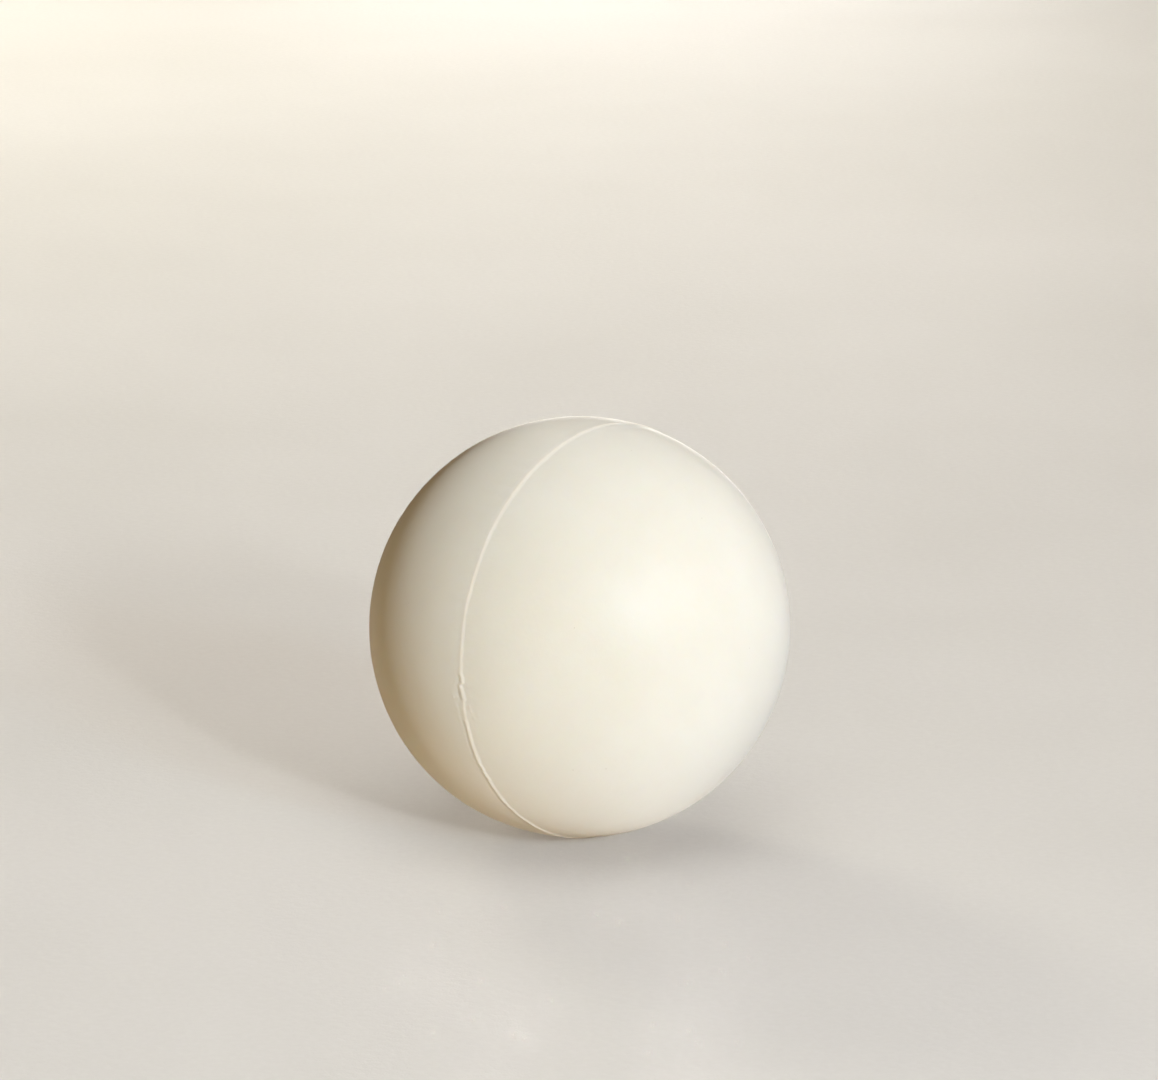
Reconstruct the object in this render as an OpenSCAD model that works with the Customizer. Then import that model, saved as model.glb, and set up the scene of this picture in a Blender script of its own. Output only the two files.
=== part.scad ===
// Table tennis ball, built from two pressed celluloid cups joined in a lap at the seam.
// Origin: centre of the ball. +X runs along the common axis of the two cups, towards
// the pole of the spigot cup, so every seam line lies in a plane parallel to YZ. +Z is up.
// The outer seam line lies seam_offset off the equator, and the inner one lies lap_len
// back from it: on the equator itself when the two are equal.
// Millimetres throughout.

/* [Ball] */
// Outside diameter of the finished ball
ball_d = 40; // [38:0.5:44]
// Wall thickness at the pole of each cup, where the sheet stretches most
pole_wall = 0.38; // [0.32:0.01:0.40]
// Wall thickness beside the joint
rim_wall = 0.42; // [0.41:0.01:0.50]

/* [Lap joint] */
// Distance from the equator to the outer seam line
seam_offset = 2.4; // [0.8:0.1:3.0]
// Length of the overlap between the skirt outside and the lip inside
lap_len = 2.4; // [1.4:0.1:3.6]
// Radial thickness of the cement film between skirt and lip
film_t = 0.03; // [0.02:0.005:0.05]
// Width of the gap that the cement fills at each end of the lap
butt_gap = 0.06; // [0.04:0.01:0.10]

/* [Cement beads] */
// Width of the bead that stands on the outer seam line
outer_bead_w = 0.45; // [0.30:0.05:0.70]
// Height of the outer bead over the wall
outer_bead_h = 0.10; // [0.04:0.01:0.14]
// Width of the squeezed-out bead along the inner seam line
inner_bead_w = 0.70; // [0.40:0.05:1.00]
// Height of the inner bead over the inside of the wall
inner_bead_h = 0.16; // [0.08:0.02:0.20]

/* [Hidden] */
$fn = 240;

// Radii
outer_r = ball_d / 2;
inner_r = outer_r - rim_wall;
mid_r = outer_r - rim_wall / 2;          // middle of the wall, where the lap splits
skirt_r = mid_r + film_t / 2;            // inside of the outer skirt
lip_r = mid_r - film_t / 2;              // outside of the inner lip
pole_shift = rim_wall - pole_wall;       // inner sphere moves this far to its cup's pole

// Stations along the axis
outer_seam = seam_offset;
inner_seam = seam_offset - lap_len;
half_gap = butt_gap / 2;
lap_start = inner_seam - half_gap;
lap_end = outer_seam + half_gap;

outer_fill_inset = 0.02;                 // outer gap fill stops this far under the surface
inner_fill_reach = 0.04;                 // inner gap fill runs this far inside the wall
overlap = 1;                             // skirt and lip run this far into their cups
far = ball_d;                            // clears the ball on every side

// All profiles below are half sections: the second coordinate runs along the axis of
// the cups and the first is the distance from it.

// The half plane on the right of the axis, between two stations along it
module band(start, end) {
    translate([0, start]) square([far, end - start]);
}

// Part of a band between two spheres about the ball's centre
module ring(start, end, from_r, to_r) {
    intersection() {
        band(start, end);
        difference() {
            circle(r = to_r);
            circle(r = from_r);
        }
    }
}

// Full wall of a cup, whose inner sphere sits shift along the axis
module wall(shift) {
    difference() {
        circle(r = outer_r);
        translate([0, shift]) circle(r = inner_r);
    }
}

// Cup whose outer half wall runs on past the inner seam as a skirt
module socket_profile() {
    intersection() {
        wall(-pole_shift);
        union() {
            band(-far, lap_start);
            difference() {
                band(lap_start - overlap, outer_seam - half_gap);
                circle(r = skirt_r);
            }
        }
    }
}

// Cup whose inner half wall stays under the skirt as a lip
module spigot_profile() {
    intersection() {
        wall(pole_shift);
        union() {
            band(lap_end, far);
            intersection() {
                band(inner_seam + half_gap, lap_end + overlap);
                circle(r = lip_r);
            }
        }
    }
}

// Radius of a bead whose section is a circle that shows a given width and height
function bead_radius(width, height) = (width * width / 4 + height * height) / (2 * height);

// Full circle of a bead on the seam at a station along the sphere of radius wall_r.
// The bead stands outwards for side = 1 and inwards for side = -1.
module bead_section(station, wall_r, side, width, height) {
    radius = bead_radius(width, height);
    latitude = asin(station / wall_r);
    distance = wall_r + side * (height - radius);
    translate([distance * cos(latitude), distance * sin(latitude)])
        circle(r = radius, $fn = 96);
}

// Film, both butt gaps and both beads, with the two cups taken away
module cement_profile() {
    difference() {
        union() {
            ring(lap_start, lap_end, lip_r, skirt_r);
            ring(outer_seam - half_gap, lap_end, lip_r, outer_r - outer_fill_inset);
            ring(lap_start, inner_seam + half_gap, inner_r - inner_fill_reach, skirt_r);
            difference() {
                bead_section(outer_seam, outer_r, side = 1,
                             width = outer_bead_w, height = outer_bead_h);
                circle(r = lip_r);
            }
            intersection() {
                bead_section(inner_seam, inner_r, side = -1,
                             width = inner_bead_w, height = inner_bead_h);
                circle(r = skirt_r);
            }
        }
        socket_profile();
        spigot_profile();
    }
}

// Turns a half section about the X axis
module turned() {
    rotate([0, 90, 0]) rotate_extrude() children();
}

module socket_cup() {
    color([0.93, 0.90, 0.80]) turned() socket_profile();
}

module spigot_cup() {
    color([0.96, 0.94, 0.86]) turned() spigot_profile();
}

module seam_cement() {
    color([0.97, 0.95, 0.88]) turned() cement_profile();
}

socket_cup();
spigot_cup();
seam_cement();
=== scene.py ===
"""A hollow celluloid ball of two cups, lapped and cemented together.

The seam plane stands upright across X: the socket cup with its skirt is on the left (-X), the
spigot cup with its lip on the right (+X). Lengths are in millimetres about the ball's centre
and are scaled to metres when a mesh is made; the sweep, camera and lights are in metres.
A place on the ball is a latitude (-90 degrees at the -X pole, 90 at the +X pole) and an angle
round the X axis (0 faces -Y, 90 is the top).
"""
import math

import bmesh
import bpy
import numpy as np
from mathutils import Matrix, Vector


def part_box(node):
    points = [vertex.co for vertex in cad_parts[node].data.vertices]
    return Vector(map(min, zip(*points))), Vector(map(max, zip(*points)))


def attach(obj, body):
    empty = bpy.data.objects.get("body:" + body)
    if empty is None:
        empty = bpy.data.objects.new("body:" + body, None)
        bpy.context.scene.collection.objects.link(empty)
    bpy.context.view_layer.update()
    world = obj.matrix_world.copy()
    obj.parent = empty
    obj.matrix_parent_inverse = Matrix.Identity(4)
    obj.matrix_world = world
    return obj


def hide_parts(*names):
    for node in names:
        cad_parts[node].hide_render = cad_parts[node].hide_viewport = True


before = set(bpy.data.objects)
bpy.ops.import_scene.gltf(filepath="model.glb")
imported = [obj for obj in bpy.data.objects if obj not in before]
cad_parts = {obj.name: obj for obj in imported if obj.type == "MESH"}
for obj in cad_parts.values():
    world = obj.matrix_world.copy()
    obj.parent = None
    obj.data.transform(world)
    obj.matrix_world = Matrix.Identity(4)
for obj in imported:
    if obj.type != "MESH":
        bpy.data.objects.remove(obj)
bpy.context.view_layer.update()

# ---------------------------------------------------------------------------------------
# Sizes, mm, from the CAD nodes
# ---------------------------------------------------------------------------------------
MM = 0.001
socket_lo, socket_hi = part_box("socket_cup")
spigot_lo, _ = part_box("spigot_cup")
HALF_GAP = 0.03                              # half the cement gap at each end of the lap
HALF_FILM = 0.015                            # half the cement film between the lap's faces
WALL = 0.42
BALL_R = -socket_lo.x / MM
OUTER_X = socket_hi.x / MM + HALF_GAP        # station of the outer seam line
INNER_X = spigot_lo.x / MM - HALF_GAP        # station of the inner seam line
HOLLOW_R = BALL_R - WALL                     # inner sphere of each cup
HOLLOW_SHIFT = 0.04                          # its centre moves towards the cup's own pole
LIP_R = BALL_R - WALL / 2 - HALF_FILM        # the two faces of the lap
SKIRT_R = BALL_R - WALL / 2 + HALF_FILM
OUTER_LAT = math.asin(OUTER_X / BALL_R)
INNER_LAT = math.asin(INNER_X / BALL_R)
GAP_LAT = HALF_GAP / BALL_R

# Ring counts
SEAM_POINTS = 1536                           # beside the seam
INSIDE_POINTS = 192                          # at the inner end of the lap
POLE_POINTS = 12                             # the fewest, beside a pole


# ---------------------------------------------------------------------------------------
# Smooth deterministic noise and curves
# ---------------------------------------------------------------------------------------
class Waves:
    """A smooth random field of 3-D position, rms 1, of wavelengths shortest to longest mm."""

    def __init__(self, seed, shortest, longest, count=40):
        rng = np.random.default_rng(seed)
        ways = rng.normal(size=(count, 3))
        ways /= np.linalg.norm(ways, axis=1)[:, None]
        lengths = np.exp(rng.uniform(math.log(shortest), math.log(longest), count))
        self.vectors = (ways * (2 * math.pi / lengths)[:, None]).T
        self.phases = rng.uniform(0, 2 * math.pi, count)
        self.scale = math.sqrt(2.0 / count)

    def __call__(self, point):
        return np.sin(point @ self.vectors + self.phases).sum(-1) * self.scale


class Around:
    """A smooth random function of the angle round the seam, rms 1, made like Waves."""

    def __init__(self, seed, shortest, longest, count=40):
        rng = np.random.default_rng(seed)
        lengths = np.exp(rng.uniform(math.log(shortest), math.log(longest), count))
        self.cycles = np.maximum(1, np.round(2 * math.pi * BALL_R / lengths))
        self.phases = rng.uniform(0, 2 * math.pi, count)
        self.scale = math.sqrt(2.0 / count)

    def __call__(self, angle):
        return np.sin(angle[..., None] * self.cycles + self.phases).sum(-1) * self.scale


def to_degrees(angle):
    return (np.degrees(angle) + 180) % 360 - 180


def closed_curve(degrees, knots):
    """A smooth closed curve through (degrees, value) knots."""
    at, value = np.array(knots, float).T
    at = np.concatenate([at - 360, at, at + 360])
    value = np.concatenate([value, value, value])
    slope = np.zeros_like(value)
    slope[1:-1] = (value[2:] - value[:-2]) / (at[2:] - at[:-2])
    i = np.clip(np.searchsorted(at, degrees, side="right") - 1, 0, len(at) - 2)
    span = at[i + 1] - at[i]
    u = (degrees - at[i]) / span
    return (
        (2 * u**3 - 3 * u**2 + 1) * value[i]
        + (u**3 - 2 * u**2 + u) * span * slope[i]
        + (-2 * u**3 + 3 * u**2) * value[i + 1]
        + (u**3 - u**2) * span * slope[i + 1]
    )


def linear(degrees, knots):
    """Straight lines through (degrees, value) knots, level beyond the ends."""
    at, value = zip(*knots)
    return np.interp(degrees, at, value)


def bell(x, centre, width):
    return np.exp(-(((x - centre) / width) ** 2))


def add_bumps(base, degrees, bumps):
    """Adds (degrees, width, height) bells to a function of the angle."""
    for centre, width, height in bumps:
        base = base + height * bell(degrees, centre, width)
    return base


# ---------------------------------------------------------------------------------------
# The seam: where it runs, and how the surface rises and dips beside it.
# Tables are (degrees round the ball, value in mm) unless noted.
# ---------------------------------------------------------------------------------------
# side shift of the outer seam line
WANDER = [
    (-170, 0.18), (-130, 0.42), (-95, 0.60), (-65, 0.62), (-47, 0.36), (-30, 0.12), (-12, -0.02),
    (6, -0.14), (28, -0.09), (48, 0.06), (68, 0.20), (92, 0.22), (125, 0.05), (155, -0.05),
]
# further side shift where the cement ran out in overlapping drips
DRIPS = [
    (-10.4, 0.00), (-9.5, 0.00), (-9.15, 0.03), (-8.8, 0.13), (-6.6, 0.03), (-5.0, -0.08),
    (-4.5, -0.10), (-4.05, 0.13), (-2.4, 0.10), (-1.6, 0.00), (0.6, 0.00),
]
# small kinks in the line: degrees, width in degrees, mm
KINKS = [(-14.6, 0.9, -0.07), (-30.4, 0.8, 0.06), (-34.0, 0.7, 0.07), (65.5, 0.8, 0.05)]
BEAD_HEIGHT = [
    (-160, 0.040), (-90, 0.046), (-60, 0.047), (-40, 0.048), (-16, 0.042), (0, 0.020),
    (14, 0.014), (30, 0.014), (48, 0.017), (75, 0.022), (110, 0.032), (150, 0.038),
]
# how strongly the bead stands, along and beyond the drips, as a factor
BEAD_STRENGTH = [
    (-60, 1.0), (-47, 0.8), (-38, 1.1), (-15.0, 1.10), (-14.3, 0.25), (-9.6, 0.20), (-9.0, 1.55),
    (-4.4, 1.55), (-4.0, 1.5), (-1.7, 1.5), (-1.2, 1.1), (2, 1.0), (60, 1.0),
]
# lumps on the bead: degrees, width in degrees, mm
BEAD_LUMPS = [
    (-3.2, 0.9, 0.016), (-7.8, 1.1, 0.014), (65.5, 0.7, 0.024), (-30.4, 0.9, 0.016),
    (-34, 0.8, 0.018),
]
# how far the skirt's edge stands over the other cup, a step down from left to right
STEP_HEIGHT = [
    (-150, 0.050), (-90, 0.048), (-60, 0.045), (-40, 0.045), (-16, 0.047), (-10, 0.052),
    (0, 0.060), (20, 0.063), (50, 0.088), (80, 0.092), (130, 0.062),
]
# over what width it falls
STEP_WIDTH = [
    (-150, 0.38), (-60, 0.34), (-20, 0.36), (-9, 0.38), (0, 0.43), (15, 0.46), (32, 0.46),
    (60, 0.54), (90, 0.52), (130, 0.42),
]
# factor on its height
STEP_STRENGTH = [
    (-60, 1.0), (-40, 1.0), (-15.0, 1.0), (-14.3, 1.20), (-9.6, 1.20), (-9.0, 1.0), (-4.0, 0.95),
    (-1.2, 0.92), (20, 0.90), (60, 1.0),
]
# depth of the troughs beside the bead
VALLEY = [
    (-150, 0.004), (-80, 0.005), (-35, 0.005), (-8, 0.004), (0, 0.001), (8, 0.0), (30, 0.0),
    (52, 0.0), (80, 0.001), (120, 0.003),
]
# deeper places in them: degrees, width in degrees, mm
VALLEY_DIPS = [(-2.4, 0.9, 0.016), (-7.4, 1.5, 0.016)]
# small smears of cement, most of them beside the drips:
# degrees, mm from the seam line, width in degrees, width in mm, height in mm
SMEARS = [
    (-8.4, -1.08, 0.30, 0.105, 0.062), (-7.4, -1.22, 0.24, 0.120, 0.034),
    (-9.6, -0.95, 0.40, 0.100, 0.014), (-10.6, 0.62, 0.60, 0.090, 0.030),
    (-12.0, 0.72, 0.45, 0.090, 0.038), (-12.9, 1.40, 0.40, 0.110, 0.030),
    (-13.9, 1.00, 0.45, 0.090, 0.022), (-15.0, 1.75, 0.50, 0.110, 0.018),
    (-5.0, 0.80, 0.60, 0.140, 0.012), (-4.2, -0.80, 0.70, 0.180, 0.014),
    (-15.9, 0.55, 0.90, 0.090, 0.014), (-26.4, -3.45, 0.90, 0.240, 0.022),
    (-27.9, -3.12, 0.80, 0.220, 0.018), (-24.8, -3.90, 0.80, 0.220, 0.014),
    (-26.3, -4.90, 1.30, 0.240, 0.014), (40.0, 0.80, 0.60, 0.150, 0.006),
    (118.0, -0.90, 0.80, 0.200, 0.009), (163.0, 1.10, 0.70, 0.180, 0.009),
    (-118.0, 0.85, 0.60, 0.160, 0.010), (-139.0, -1.20, 0.70, 0.150, 0.009),
]
ROUGHEST = -10.5                             # degrees, where the joint is most puckered

drift = Around(11, 6.0, 22.0)
jitter = Around(12, 0.9, 3.0)
swell = Around(13, 1.2, 6.0)
breadth = Around(14, 1.0, 5.0)
# unevenness of the whole ball: height in mm, waves
SURFACE = [
    (0.018, Waves(1, 18.0, 46.0)),           # out of round
    (0.0028, Waves(3, 4.5, 11.0)),           # ripple
    (0.0019, Waves(2, 1.6, 4.2, 64)),        # orange peel
]
pucker = Waves(4, 0.9, 2.6, 64)
pucker_fine = Waves(5, 0.45, 1.0, 64)


def seam_lat(angle):
    """Latitude of the middle of the outer seam line."""
    degrees = to_degrees(angle)
    shift = closed_curve(degrees, WANDER) + 0.020 * drift(angle) + 0.010 * jitter(angle)
    shift = shift + linear(degrees, DRIPS)
    return OUTER_LAT + add_bumps(shift, degrees, KINKS) / BALL_R


def bead_size(angle):
    """Height, left half width and right half width of the cement bead, mm."""
    degrees = to_degrees(angle)
    height = closed_curve(degrees, BEAD_HEIGHT) * (1 + 0.10 * swell(angle))
    height = height * linear(degrees, BEAD_STRENGTH)
    height = add_bumps(height, degrees, BEAD_LUMPS)
    broad = 1 + 0.45 * bell(degrees, 60, 38)
    left = 0.250 * (1 + 0.12 * breadth(angle)) * broad
    right = 0.230 * (1 + 0.12 * swell(angle + 1.7)) * broad
    return height, left, right


def skirt_step(angle, offset):
    """The skirt's standing edge: it fades away to the left, and falls to the other cup
    over the width of the bead on the right."""
    degrees = to_degrees(angle)
    height = closed_curve(degrees, STEP_HEIGHT) * (1 + 0.10 * swell(angle + 0.9))
    height = height * linear(degrees, STEP_STRENGTH)
    fall = np.clip((offset + 0.08) / closed_curve(degrees, STEP_WIDTH), 0, 1)
    fade = np.exp(-np.maximum(-offset, 0) / 3.0)
    return height * fade * (1 - fall * fall * (3 - 2 * fall))


def direction(lat, angle):
    return np.stack(
        [np.sin(lat), -np.cos(lat) * np.cos(angle), np.cos(lat) * np.sin(angle)], -1)


def relief(lat, angle, offset):
    """How far the outer surface stands off the true sphere, in mm; offset is the distance
    from the seam line, mm, positive on the right-hand cup."""
    point = direction(lat, angle) * BALL_R
    degrees = to_degrees(angle)
    away = np.abs(offset)
    out = sum(height * waves(point) for height, waves in SURFACE)
    # the skirt's edge stands proud of the other cup, and both lift a little into the bead
    out = out + skirt_step(angle, offset) + 0.008 * np.exp(-((away / 0.55) ** 1.6))
    # a shallow trough on the left and a fainter one on the right
    depth = closed_curve(degrees, VALLEY) * (0.35 + 0.65 * linear(degrees, BEAD_STRENGTH))
    depth = add_bumps(depth, degrees, VALLEY_DIPS)
    out = out - depth * bell(offset, -0.42, 0.14) - 0.25 * depth * bell(offset, 0.52, 0.22)
    # the lap shows through as a very slight sink, one lap length to the left
    out = out - 0.004 * bell(offset, -2.45, 0.7)
    # pulled and rubbed surface along the joint
    rough = 0.45 + 0.40 * np.tanh(2.0 * bell(degrees, -14, 26) + 0.6 * drift(angle))
    rough = rough + 1.3 * bell(degrees, ROUGHEST, 4.5)
    out = out + 0.0050 * pucker(point) * np.exp(-away / 1.1) * rough
    fine = 0.0014 + 0.0068 * bell(degrees, ROUGHEST, 5.0)
    out = out + fine * pucker_fine(point) * np.exp(-away / 1.5)
    for centre, side_way, width, side_width, height in SMEARS:
        out = out + height * bell(degrees, centre, width) * bell(offset, side_way, side_width)
    return out


# ---------------------------------------------------------------------------------------
# Rings of points into closed meshes
# ---------------------------------------------------------------------------------------
def angles(count):
    return np.arange(count) * (2 * math.pi / count)


def stitch(start_a, count_a, start_b, count_b, faces):
    """Joins ring a (its first index, its count) to ring b; counts are equal or 2 to 1."""

    def add(*corners):
        faces.extend(np.stack(corners, 1).tolist())

    j = np.arange(min(count_a, count_b))
    a, b = start_a + j, start_b + j
    next_a, next_b = start_a + (j + 1) % count_a, start_b + (j + 1) % count_b
    if count_a == count_b:
        add(a, next_a, next_b, b)
    elif count_a == 2 * count_b:
        even, odd, next_even = (start_a + (2 * j + i) % count_a for i in range(3))
        add(even, odd, b)
        add(odd, next_b, b)
        add(odd, next_even, next_b)
    elif count_b == 2 * count_a:
        even, odd, next_even = (start_b + (2 * j + i) % count_b for i in range(3))
        add(odd, even, a)
        add(odd, a, next_a)
        add(next_even, odd, next_a)
    else:
        raise ValueError(f"rings of {count_a} and {count_b} points")


def add_object(name, data):
    ob = bpy.data.objects.new(name, data)
    bpy.context.scene.collection.objects.link(ob)
    return ob


def make_mesh(name, verts, faces, sharp_degrees):
    """A mesh object in metres, outward normals, smooth with true edges kept sharp."""
    mesh = bpy.data.meshes.new(name)
    mesh.from_pydata((np.asarray(verts) * MM).tolist(), [], faces)
    bm = bmesh.new()
    bm.from_mesh(mesh)
    bmesh.ops.recalc_face_normals(bm, faces=bm.faces)
    if bm.calc_volume(signed=True) < 0:
        bmesh.ops.reverse_faces(bm, faces=bm.faces)
    if any(len(e.link_faces) != 2 for e in bm.edges):
        raise ValueError(f"{name}: open edges")
    for f in bm.faces:
        f.smooth = True
    bm.to_mesh(mesh)
    bm.free()
    mesh.set_sharp_from_angle(angle=math.radians(sharp_degrees))
    return add_object(name, mesh)


def shell(name, rings, first_pole, last_pole):
    """A closed skin through rings of points, from one pole point to the other."""
    counts = [len(ring) for ring in rings]
    starts = [1 + sum(counts[:i]) for i in range(len(counts))]
    count = counts[0]
    faces = [[0, 1 + j, 1 + (j + 1) % count] for j in range(count)]
    for i in range(len(rings) - 1):
        stitch(starts[i], counts[i], starts[i + 1], counts[i + 1], faces)
    count, start = counts[-1], starts[-1]
    end = start + count
    faces.extend([[end, start + (j + 1) % count, start + j] for j in range(count)])
    verts = np.concatenate([np.array([first_pole]), *rings, np.array([last_pole])])
    return make_mesh(name, verts, faces, sharp_degrees=40)


# ---------------------------------------------------------------------------------------
# The cups
# ---------------------------------------------------------------------------------------
def ring_count(reach, lat):
    """Points in an outer ring: many beside the seam, then fewer as it shrinks to the pole."""
    if reach < 1.0:
        return SEAM_POINTS
    if reach < 2.2:
        return SEAM_POINTS // 2
    count = SEAM_POINTS // 4
    closest = 0.33 * 0.62
    while count > POLE_POINTS and math.cos(lat) * 2 * math.pi * BALL_R / count < closest:
        count //= 2
    return count


def outer_stations(side):
    """(mm from the seam edge, nominal latitude) of the outer rings, from seam to pole."""
    reach, spacing, out = 0.0, 0.045, []
    total = abs(side * math.pi / 2 - OUTER_LAT) * BALL_R - HALF_GAP
    while reach < total - 0.22:
        out.append((reach, OUTER_LAT + side * (HALF_GAP + reach) / BALL_R))
        if reach < 1.0:
            spacing = min(spacing * 1.06, 0.09)
        else:
            spacing = min(spacing * 1.12, 0.33)
        reach += spacing
    return out


def outer_ring(reach, lat, count, side):
    """A ring of the outer surface. It follows the seam line close by, and lets go of it
    over the next 12 mm."""
    angle = angles(count)
    follow = math.exp(-((reach / 7.0) ** 2))
    lats = lat + (seam_lat(angle) - OUTER_LAT) * follow
    offset = np.full(count, side * (HALF_GAP + reach))
    return direction(lats, angle) * (BALL_R + relief(lats, angle, offset))[:, None]


def inside_ring(lat, count, side):
    """Points of a cup's inside, seen from the ball's centre at this latitude."""
    ways = direction(np.full(count, lat), angles(count))
    shift = HOLLOW_SHIFT * side
    along = ways[..., 0] * shift
    radius = along + np.sqrt(along * along - shift * shift + HOLLOW_R**2)
    return ways * radius[..., None]


def build_cup(name, side):
    """side +1: spigot cup, right, with the lip. side -1: socket cup, left, with the skirt."""
    pole = side * math.pi / 2
    lap_radius = LIP_R if side > 0 else SKIRT_R
    gap = side * GAP_LAT
    rings = []
    for reach, lat in reversed(outer_stations(side)):
        count = ring_count(reach, lat)
        if rings:
            # neighbouring counts stay within 2 to 1
            count = min(count, 2 * len(rings[-1]))
        rings.append(outer_ring(reach, lat, count, side))

    # edge at the outer gap, down to the face of the lap
    angle = angles(SEAM_POINTS)
    ways = direction(seam_lat(angle) + gap, angle)
    top = np.linalg.norm(rings[-1], axis=1)
    for part in (0.35, 0.7, 1.0):
        rings.append(ways * (top + (lap_radius - top) * part)[:, None])
    # face of the lap, across to the inner gap
    start = INNER_LAT + gap
    for part, count in ((0.12, 768), (0.3, 384), (0.55, 192), (0.8, 192), (1.0, 192)):
        angle = angles(count)
        lats = seam_lat(angle) + gap
        rings.append(direction(lats + (start - lats) * part, angle) * lap_radius)
    # edge at the inner gap, then the inside of the cup
    edge = inside_ring(start, INSIDE_POINTS, side)
    ways = direction(np.full(INSIDE_POINTS, start), angles(INSIDE_POINTS))
    rings.append((ways * lap_radius + edge) / 2)
    rings.append(edge)
    reach, spacing, count = 0.0, 0.25, INSIDE_POINTS
    total = abs(pole - start) * HOLLOW_R
    while True:
        spacing = min(spacing * 1.15, 0.66)
        reach += spacing
        if reach > total - 0.5:
            break
        lat = start + side * reach / HOLLOW_R
        if count > POLE_POINTS and math.cos(lat) * 2 * math.pi * HOLLOW_R / count < 0.4:
            count //= 2
        rings.append(inside_ring(lat, count, side))

    far_offset = side * 30.0
    height = relief(np.array([pole]), np.array([0.0]), np.array([far_offset]))[0]
    outer_pole = direction(np.array(pole), np.array(0.0)) * (BALL_R + float(height))
    return shell(name, rings, outer_pole, inside_ring(pole, 1, side)[0])


# ---------------------------------------------------------------------------------------
# The cement: bead outside, film through the lap and bead inside, as one closed ring
# ---------------------------------------------------------------------------------------
EDGE_SINK = 0.004                            # how far a bead's edge is buried


def build_bead(name):
    angle = angles(SEAM_POINTS)
    lat = seam_lat(angle)
    height, left_width, right_width = bead_size(angle)
    loops = []

    def add(lats, radius):
        radius = np.broadcast_to(radius, angle.shape)
        loops.append(direction(lats, angle) * radius[:, None])

    # outside bead, left to right, with a mask along its crest, where the cement stands thickest,
    # for the painted highlight that the cement material puts there
    run = []
    offsets = np.concatenate([
        np.linspace(-0.50, -0.32, 4), np.linspace(-0.28, 0.32, 25), np.linspace(0.37, 0.56, 4)])
    for offset in offsets:
        width = left_width if offset < 0 else right_width
        rise = height * np.exp(-(np.abs(offset / width) ** 2.3)) - EDGE_SINK
        lats = lat + offset / BALL_R
        add(lats, BALL_R + relief(lats, angle, np.full(SEAM_POINTS, offset)) + rise)
        run.append(np.full(SEAM_POINTS, math.exp(-((offset - 0.03) / 0.24) ** 2)))
    # underside on the right, down the outer gap, along the film, to the inner bead
    inner = np.full(SEAM_POINTS, INNER_LAT)
    right_outer, right_inner = lat + GAP_LAT, inner + GAP_LAT
    left_outer, left_inner = lat - GAP_LAT, inner - GAP_LAT
    add(lat + 0.40 / BALL_R, BALL_R - 0.030)
    add(right_outer, BALL_R - 0.040)
    add(right_outer, LIP_R)
    for part in (0.33, 0.66):
        add(right_outer + (right_inner - right_outer) * part, LIP_R)
    add(right_inner, LIP_R)
    add(right_inner, HOLLOW_R + 0.03)
    # inside bead, right to left
    uneven = 1 + 0.16 * swell(angle + 2.6)
    for offset in np.linspace(0.42, -0.42, 13):
        drop = 0.165 * uneven * math.exp(-abs(offset / 0.26) ** 2.4) - EDGE_SINK
        shift = HOLLOW_SHIFT * (1 if offset >= 0 else -1)
        hollow = HOLLOW_R + shift * math.sin(INNER_LAT + offset / BALL_R)
        add(inner + offset / BALL_R, hollow - drop)
    # back along the film and up the left of the outer gap
    add(left_inner, HOLLOW_R + 0.03)
    add(left_inner, SKIRT_R)
    for part in (0.34, 0.67):
        add(left_inner + (left_outer - left_inner) * part, SKIRT_R)
    add(left_outer, SKIRT_R)
    add(left_outer, BALL_R - 0.040)
    add(lat - 0.36 / BALL_R, BALL_R - 0.030)

    faces = []
    for i in range(len(loops)):
        after = (i + 1) % len(loops)
        stitch(i * SEAM_POINTS, SEAM_POINTS, after * SEAM_POINTS, SEAM_POINTS, faces)
    verts = np.concatenate(loops)
    ob = make_mesh(name, verts, faces, sharp_degrees=50)
    values = np.zeros(len(verts), np.float32)
    values[:len(run) * SEAM_POINTS] = np.concatenate(run)
    ob.data.attributes.new("run", "FLOAT", "POINT").data.foreach_set("value", values)
    return ob


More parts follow.
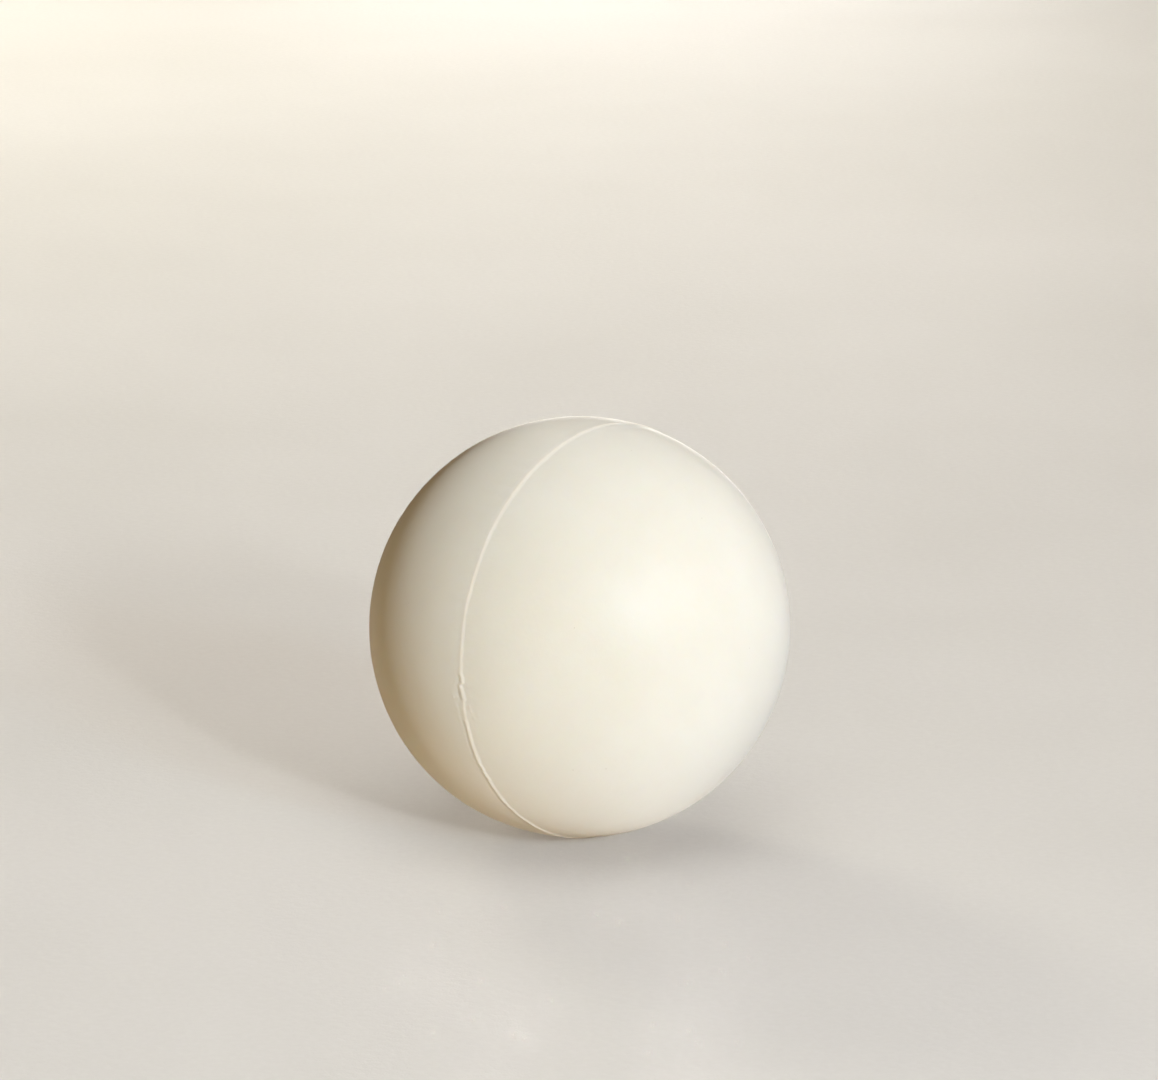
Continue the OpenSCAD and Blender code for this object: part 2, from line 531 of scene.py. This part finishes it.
# ---------------------------------------------------------------------------------------
# Materials
# ---------------------------------------------------------------------------------------
class Shader:
    """Short hand for a material's node tree. Coordinates are object space in mm."""

    def __init__(self, name):
        self.material = bpy.data.materials.new(name)
        self.material.use_nodes = True
        self.tree = self.material.node_tree
        self.tree.nodes.clear()
        output = self.node("OutputMaterial")
        self.bsdf = self.node("BsdfPrincipled")
        self.link(self.bsdf.outputs[0], output.inputs[0])
        coords = self.node("TexCoord")
        self.point = self.vector("MULTIPLY", coords.outputs["Object"], (1000, 1000, 1000))

    def node(self, kind):
        return self.tree.nodes.new("ShaderNode" + kind)

    def link(self, source, socket):
        if isinstance(source, (int, float)):
            socket.default_value = source
        elif isinstance(source, tuple):
            whole = len(source) == len(socket.default_value)
            socket.default_value = source if whole else (*source, 1.0)
        else:
            self.tree.links.new(source, socket)

    def vector(self, operation, a, b):
        node = self.node("VectorMath")
        node.operation = operation
        self.link(a, node.inputs[0])
        self.link(b, node.inputs[1])
        return node.outputs[0]

    def math(self, operation, a, b=None):
        node = self.node("Math")
        node.operation = operation
        self.link(a, node.inputs[0])
        if b is not None:
            self.link(b, node.inputs[1])
        return node.outputs[0]

    def moved(self, offset):
        return self.point if offset is None else self.vector("ADD", self.point, offset)

    def noise(self, scale, detail=2.0, rough=0.5, at=None, offset=None):
        where = at if at is not None else self.moved(offset)
        node = self.node("TexNoise")
        self.link(where, node.inputs["Vector"])
        node.inputs["Scale"].default_value = scale
        node.inputs["Detail"].default_value = detail
        node.inputs["Roughness"].default_value = rough
        return node.outputs[0]

    def cells(self, scale, feature, offset):
        """Distance from the nearest point of a Voronoi pattern."""
        where = self.moved(offset)
        node = self.node("TexVoronoi")
        node.feature = feature
        self.link(where, node.inputs["Vector"])
        node.inputs["Scale"].default_value = scale
        if feature == "SMOOTH_F1":
            node.inputs["Smoothness"].default_value = 1.0
        return node.outputs["Distance"]

    def remap(self, value, source, target=(0.0, 1.0), smooth=False):
        """Takes the source range to the target range, clamped."""
        node = self.node("MapRange")
        node.interpolation_type = "SMOOTHSTEP" if smooth else "LINEAR"
        node.clamp = True
        self.link(value, node.inputs["Value"])
        for key, number in zip(("From Min", "From Max", "To Min", "To Max"), source + target):
            self.link(number, node.inputs[key])
        return node.outputs["Result"]

    def mix(self, factor, a, b):
        node = self.node("Mix")
        node.data_type = "RGBA"
        node.blend_type = "MIX"
        self.link(factor, node.inputs["Factor"])
        self.link(a, node.inputs[6])
        self.link(b, node.inputs[7])
        return node.outputs[2]

    def stretch(self, axis, along, across, offset):
        """Coordinates scaled by along on one axis and by across on the others, so that
        noise comes out as streaks."""
        node = self.node("Mapping")
        node.vector_type = "POINT"
        self.link(self.point, node.inputs["Vector"])
        turn = Vector(axis).normalized().rotation_difference(Vector((0, 0, 1)))
        node.inputs["Rotation"].default_value = turn.to_euler()
        node.inputs["Scale"].default_value = (across, across, along)
        node.inputs["Location"].default_value = offset
        return node.outputs[0]

    def bump(self, height, depth, under=None):
        """A bump of this depth in mm, on top of the normal under it."""
        node = self.node("Bump")
        node.inputs["Strength"].default_value = 1.0
        node.inputs["Distance"].default_value = depth * MM
        self.link(height, node.inputs["Height"])
        if under is not None:
            self.link(under, node.inputs["Normal"])
        return node.outputs[0]

    def set(self, **values):
        for key, value in values.items():
            self.link(value, self.bsdf.inputs[key.replace("_", " ")])


# light from within, the same in cups and cement
GLOW = dict(Subsurface_Weight=0.12, Subsurface_Radius=(1.0, 0.62, 0.34),
            Subsurface_Scale=0.0009, Diffuse_Roughness=0.8)


def celluloid(name, light, shade, seed):
    """Tumbled celluloid sheet: cream, faintly cloudy, satin, with light from within."""
    mat = Shader(name)
    shift = (seed * 17.3, seed * 7.1, seed * 3.7)
    cloud = mat.noise(scale=0.075, detail=3.0, rough=0.55, offset=shift)
    patches = mat.noise(scale=0.42, detail=3.0, rough=0.55, offset=shift)
    fine = mat.noise(scale=7.0, rough=0.6, offset=shift)
    pale = mat.math("ADD", mat.remap(cloud, (0.30, 0.70), (0.0, 0.75)),
                    mat.remap(patches, (0.30, 0.70), (0.0, 0.25)))
    colour = mat.mix(pale, shade, light)
    # pinhead specks in the sheet
    near = mat.cells(scale=0.55, feature="F1", offset=shift)
    speck = mat.remap(near, (0.020, 0.050), (1.0, 0.0), smooth=True)
    picker = mat.noise(scale=0.9, detail=0.0, offset=(shift[2], shift[0], shift[1]))
    speck = mat.math("MULTIPLY", speck, mat.math("GREATER_THAN", picker, 0.60))
    colour = mat.mix(mat.math("MULTIPLY", speck, 0.34), colour, (0.50, 0.42, 0.30))
    # fine grain of the colour
    colour = mat.mix(mat.remap(fine, (0.25, 0.75), (0.0, 0.05)), colour, (0.70, 0.64, 0.52))
    # the rubbed band along the joint, a touch whiter, ragged at its edge
    xyz = mat.node("SeparateXYZ")
    mat.link(mat.point, xyz.inputs[0])
    away = mat.math("ABSOLUTE", mat.math("SUBTRACT", xyz.outputs[0], OUTER_X + 0.15))
    ragged = mat.remap(mat.noise(scale=0.8, offset=shift), (0.3, 0.7), (-0.5, 0.5))
    away = mat.math("ADD", away, ragged)
    band = mat.remap(away, (0.5, 1.9), (1.0, 0.0), smooth=True)
    streak = mat.noise(scale=1.0, detail=3.0, rough=0.65,
                       at=mat.stretch((1, 0, 0), along=6.5, across=0.55, offset=shift))
    rubbed = mat.math("MULTIPLY", band, mat.remap(streak, (0.35, 0.70), (0.04, 0.22)))
    colour = mat.mix(rubbed, colour, (0.95, 0.92, 0.83))
    # handling scuffs: short pale hairs in two directions
    hairs = []
    for axis, k in (((0.3, 0.7, 0.65), 1.0), ((-0.7, -0.2, 0.7), 2.0)):
        lines = mat.noise(scale=1.0, detail=1.0, rough=0.4, at=mat.stretch(
            axis, along=0.22, across=7.0, offset=(k * 3.1 + seed, 0, 0)))
        gate = mat.noise(scale=0.14, detail=1.0, offset=(k * 9 + seed, 2, 5))
        gate = mat.remap(gate, (0.52, 0.66), smooth=True)
        hairs.append(mat.math("MULTIPLY", mat.remap(lines, (0.70, 0.78), smooth=True), gate))
    hair = mat.math("MAXIMUM", *hairs)
    colour = mat.mix(mat.math("MULTIPLY", hair, 0.18), colour, (0.96, 0.94, 0.86))
    mat.set(Base_Color=colour)
    # satin: even, with slightly shinier handled patches and duller scuffs
    rough = mat.remap(patches, (0.3, 0.7), (0.40, 0.47))
    rough = mat.math("ADD", rough, mat.math("MULTIPLY", hair, 0.14))
    rough = mat.math("ADD", rough, mat.remap(fine, (0.3, 0.7), (-0.03, 0.03)))
    rough = mat.math("SUBTRACT", rough, mat.math("MULTIPLY", band, 0.03))
    mat.set(Roughness=rough, IOR=1.50)
    # tumbled micro relief, in three sizes, with hair scratches cut in
    normal = mat.bump(mat.noise(scale=8.5, rough=0.6, offset=shift), depth=0.0035)
    dimples = mat.cells(scale=1.9, feature="SMOOTH_F1", offset=shift)
    normal = mat.bump(dimples, depth=0.0060, under=normal)
    peel = mat.noise(scale=1.15, rough=0.55, offset=(shift[1], shift[2], shift[0]))
    normal = mat.bump(peel, depth=0.016, under=normal)
    normal = mat.bump(mat.math("MULTIPLY", hair, -1.0), depth=0.0030, under=normal)
    mat.set(Normal=normal, **GLOW)
    mat.set(Sheen_Weight=0.10, Sheen_Roughness=0.45, Sheen_Tint=(1.0, 0.97, 0.90))
    return mat.material


def dried_cement(name):
    """Solvent cement: the same stock as the cups, with glossier runs, and along the bead's crest
    a painted highlight, paler and warmer.
    """
    mat = Shader(name)
    shift = (4.0, 9.0, 1.0)
    cloud = mat.noise(scale=0.35, offset=shift)
    runs = mat.noise(scale=2.2, offset=shift)
    # painted highlight: along the bead's crest the colour is paler and warmer than the cups'
    # colour
    run = mat.node("Attribute")
    run.attribute_name = "run"
    crest_highlight_colour = mat.mix(mat.remap(cloud, (0.3, 0.7)), (0.940, 0.878, 0.755), (0.955, 0.900, 0.790))
    colour = mat.mix(run.outputs["Fac"], (0.905, 0.868, 0.770), crest_highlight_colour)
    amber = mat.remap(runs, (0.55, 0.75), (0.0, 0.20), smooth=True)
    colour = mat.mix(amber, colour, (0.88, 0.80, 0.66))
    mat.set(Base_Color=colour)
    mat.set(Roughness=mat.remap(runs, (0.35, 0.65), (0.34, 0.48)), IOR=1.48)
    coarse = mat.noise(scale=5.0, rough=0.55, offset=shift)
    grain = mat.bump(mat.noise(scale=14.0, detail=1.0, offset=shift), depth=0.0015)
    mat.set(Normal=mat.bump(coarse, depth=0.006, under=grain), **GLOW)
    return mat.material


def floor_paint(name):
    mat = Shader(name)
    broad = mat.noise(scale=0.012, detail=3.0)
    fine = mat.noise(scale=1.2, detail=4.0, rough=0.6)
    colour = mat.mix(mat.remap(broad, (0.3, 0.7)), (0.600, 0.585, 0.555), (0.640, 0.625, 0.600))
    colour = mat.mix(mat.remap(fine, (0.3, 0.7), (0.0, 0.10)), colour, (0.52, 0.50, 0.47))
    mat.set(Base_Color=colour, Roughness=mat.remap(fine, (0.3, 0.7), (0.50, 0.62)), IOR=1.45)
    grain = mat.bump(mat.noise(scale=5.0), depth=0.02)
    mat.set(Normal=mat.bump(fine, depth=0.05, under=grain))
    # the far sweep glows a little, so that it stays pale where the lights fall off
    length = mat.node("VectorMath")
    length.operation = "LENGTH"
    mat.link(mat.point, length.inputs[0])
    far = mat.remap(length.outputs["Value"], (500.0, 2400.0), (0.0, 0.42), smooth=True)
    mat.set(Emission_Color=(1.0, 0.985, 0.96), Emission_Strength=far)
    return mat.material


# ---------------------------------------------------------------------------------------
# The three pieces
# ---------------------------------------------------------------------------------------
def finish_piece(ob, material, node):
    ob.data.materials.append(material)
    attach(ob, "root")
    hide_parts(node)


left = build_cup("left_cup_shell", side=-1)
finish_piece(left, celluloid("celluloid_left", light=(0.905, 0.868, 0.770),
                             shade=(0.870, 0.826, 0.716), seed=1), "socket_cup")
right = build_cup("right_cup_shell", side=1)
finish_piece(right, celluloid("celluloid_right", light=(0.915, 0.880, 0.785),
                              shade=(0.880, 0.838, 0.730), seed=2), "spigot_cup")
bead = build_bead("seam_cement_ring")
finish_piece(bead, dried_cement("dried_cement"), "seam_cement")

# ---------------------------------------------------------------------------------------
# Stage, metres: a pale round sweep, so that every side has the same plain background
# ---------------------------------------------------------------------------------------
bpy.context.view_layer.update()
lowest = min(v.co.z for o in (left, right, bead) for v in o.data.vertices)
FLAT_RADII = (0.02, 0.05, 0.10, 0.20, 0.40, 0.70, 1.00, 1.30, 1.60)
BEND_R, BEND_STEPS = 0.9, 16
WALL_HEIGHTS = (1.5, 2.4)
SWEEP_SIDES = 96


def build_sweep(name, floor_z):
    flat = FLAT_RADII[-1]
    profile = [(r, 0.0) for r in FLAT_RADII]
    for i in range(1, BEND_STEPS + 1):
        a = math.pi / 2 * i / BEND_STEPS
        profile.append((flat + BEND_R * math.sin(a), BEND_R * (1 - math.cos(a))))
    profile += [(flat + BEND_R, z) for z in WALL_HEIGHTS]
    bm = bmesh.new()
    centre = bm.verts.new((0, 0, floor_z))
    rows = [[bm.verts.new((r * math.cos(t), r * math.sin(t), floor_z + z))
             for t in angles(SWEEP_SIDES)] for r, z in profile]
    for j in range(SWEEP_SIDES):
        bm.faces.new((centre, rows[0][j], rows[0][(j + 1) % SWEEP_SIDES]))
    for low, high in zip(rows, rows[1:]):
        for j in range(SWEEP_SIDES):
            k = (j + 1) % SWEEP_SIDES
            bm.faces.new((low[j], high[j], high[k], low[k]))
    for f in bm.faces:
        f.smooth = True
    mesh = bpy.data.meshes.new(name)
    bm.to_mesh(mesh)
    bm.free()
    return add_object(name, mesh)


sweep = build_sweep("sweep", lowest - 0.00001)
sweep.data.materials.append(floor_paint("pale_floor"))
# the floor's bounce light is placed with the lights below, so that the ball keeps
# its warm shaded side: the sweep itself sends the ball neither bounce nor reflection
sweep.visible_diffuse = False
sweep.visible_glossy = False
sweep.visible_shadow = False
# nor does the ball send its own warm bounce to the floor, which would wash out the contact
# shadow; its cast shadow is untouched
for piece in (left, right, bead):
    piece.visible_diffuse = False

# ---------------------------------------------------------------------------------------
# Camera: a long lens on the -Y side of the ball, to the right, 13.4 degrees above it
# ---------------------------------------------------------------------------------------
AZIMUTH, PITCH = math.radians(39.935), math.radians(12.577)
view_right = Vector((math.cos(AZIMUTH), math.sin(AZIMUTH), 0))
view_back = Vector((math.sin(AZIMUTH) * math.cos(PITCH),
                    -math.cos(AZIMUTH) * math.cos(PITCH), math.sin(PITCH)))
view_up = view_back.cross(view_right)


def from_view(right_part, up_part, back_part):
    """A vector given by its parts along the camera's right, up and back."""
    return view_right * right_part + view_up * up_part + view_back * back_part


ball_in_view = Vector((0.0475, -8.247, -611.6)) * MM
camera = add_object("camera", bpy.data.cameras.new("camera"))
camera.data.sensor_width = 36
camera.data.lens = 200
camera.data.clip_start = 0.01
camera.data.clip_end = 20
view_axes = Matrix((view_right, view_up, view_back)).transposed().to_4x4()
camera.matrix_world = Matrix.Translation(-from_view(*ball_in_view)) @ view_axes
bpy.context.scene.camera = camera

# ---------------------------------------------------------------------------------------
# Lights
# ---------------------------------------------------------------------------------------
# name, direction from the ball (camera's right, up, back), distance m, width m, watts,
# colour, kind. full: everything; matte: not seen in the gloss; floor: matte, only the sweep
AREA_LIGHTS = [
    ("main", (0.365, 0.105, 0.925), 0.80, 0.06, 3.30, (0.92, 0.97, 1.0), "matte"),
    ("main_soft", (0.50, 0.18, 0.847), 0.80, 0.12, 2.13, (0.69, 0.85, 1.0), "full"),
    ("side", (0.76, 0.26, 0.58), 0.80, 0.40, 1.10, (0.96, 0.84, 0.88), "full"),
    ("front_top", (0.20, 0.80, 0.56), 0.80, 0.50, 0.16, (1.0, 0.60, 0.05), "full"),
    ("front", (-0.05, 0.18, 0.98), 0.80, 0.50, 0.82, (1.0, 0.91, 0.70), "full"),
    ("back_left_top", (-0.40, 0.55, -0.73), 0.80, 0.20, 1.90, (1.0, 0.96, 0.82), "matte"),
    ("back", (0.03, 0.11, -0.993), 0.80, 0.24, 1.20, (1.0, 0.97, 0.93), "full"),
    ("under_left", (-0.54, -0.77, 0.34), 0.60, 0.50, 0.65, (1.0, 0.73, 0.32), "full"),
    ("low_back", (-0.42, -0.71, -0.565), 0.60, 0.40, 2.80, (1.0, 0.90, 0.76), "matte"),
    ("under_right", (0.70, -0.66, 0.28), 0.60, 0.50, 0.51, (0.71, 0.77, 1.0), "full"),
    ("wash", (0.0, 0.90, 0.43), 1.20, 1.20, 7.0, (0.99, 1.0, 1.0), "floor"),
    ("wash_far", (0.0, 0.70, -0.71), 1.50, 1.20, 7.0, (0.99, 1.0, 1.0), "floor"),
]
only_floor = bpy.data.collections.new("only_floor")
only_floor.objects.link(sweep)


def add_light(name, kind, parts, distance, watts, colour, glossy):
    """A light aimed at the ball's centre, from a direction given in the camera's axes."""
    data = bpy.data.lights.new(name, kind)
    data.energy = watts
    data.color = colour
    ob = add_object(name, data)
    way = from_view(*parts).normalized()
    ob.location = way * distance
    ob.rotation_mode = "QUATERNION"
    ob.rotation_quaternion = way.to_track_quat("Z", "Y")
    ob.visible_glossy = glossy
    return ob


for name, parts, distance, width, watts, colour, kind in AREA_LIGHTS:
    ob = add_light(name, "AREA", parts, distance, watts, colour, glossy=kind == "full")
    ob.data.shape = "ELLIPSE"
    ob.data.size = width
    ob.data.size_y = width
    ob.visible_camera = False
    if kind == "floor":
        ob.light_linking.receiver_collection = only_floor

# a soft-edged spot from above on the far side only: its beam is narrower than the ball, so
# it shapes the back without touching the front or the floor
SPOT_DISTANCE, BEAM_R = 0.50, 0.017
spot = add_light("back_key", "SPOT", parts=(0.0, 0.60, -0.80), distance=SPOT_DISTANCE,
                 watts=4.5, colour=(1.0, 0.985, 0.96), glossy=False)
spot.data.spot_size = 2 * math.atan(BEAM_R / SPOT_DISTANCE)
spot.data.spot_blend = 0.85
spot.data.shadow_soft_size = 0.002

# dim amber fill from all round
world = bpy.data.worlds.new("world")
bpy.context.scene.world = world
world.use_nodes = True
background = world.node_tree.nodes["Background"]
background.inputs["Color"].default_value = (1.0, 0.43, 0.04, 1)
background.inputs["Strength"].default_value = 0.063

bpy.context.scene.view_settings.view_transform = "Standard"
bpy.context.scene.view_settings.look = "None"
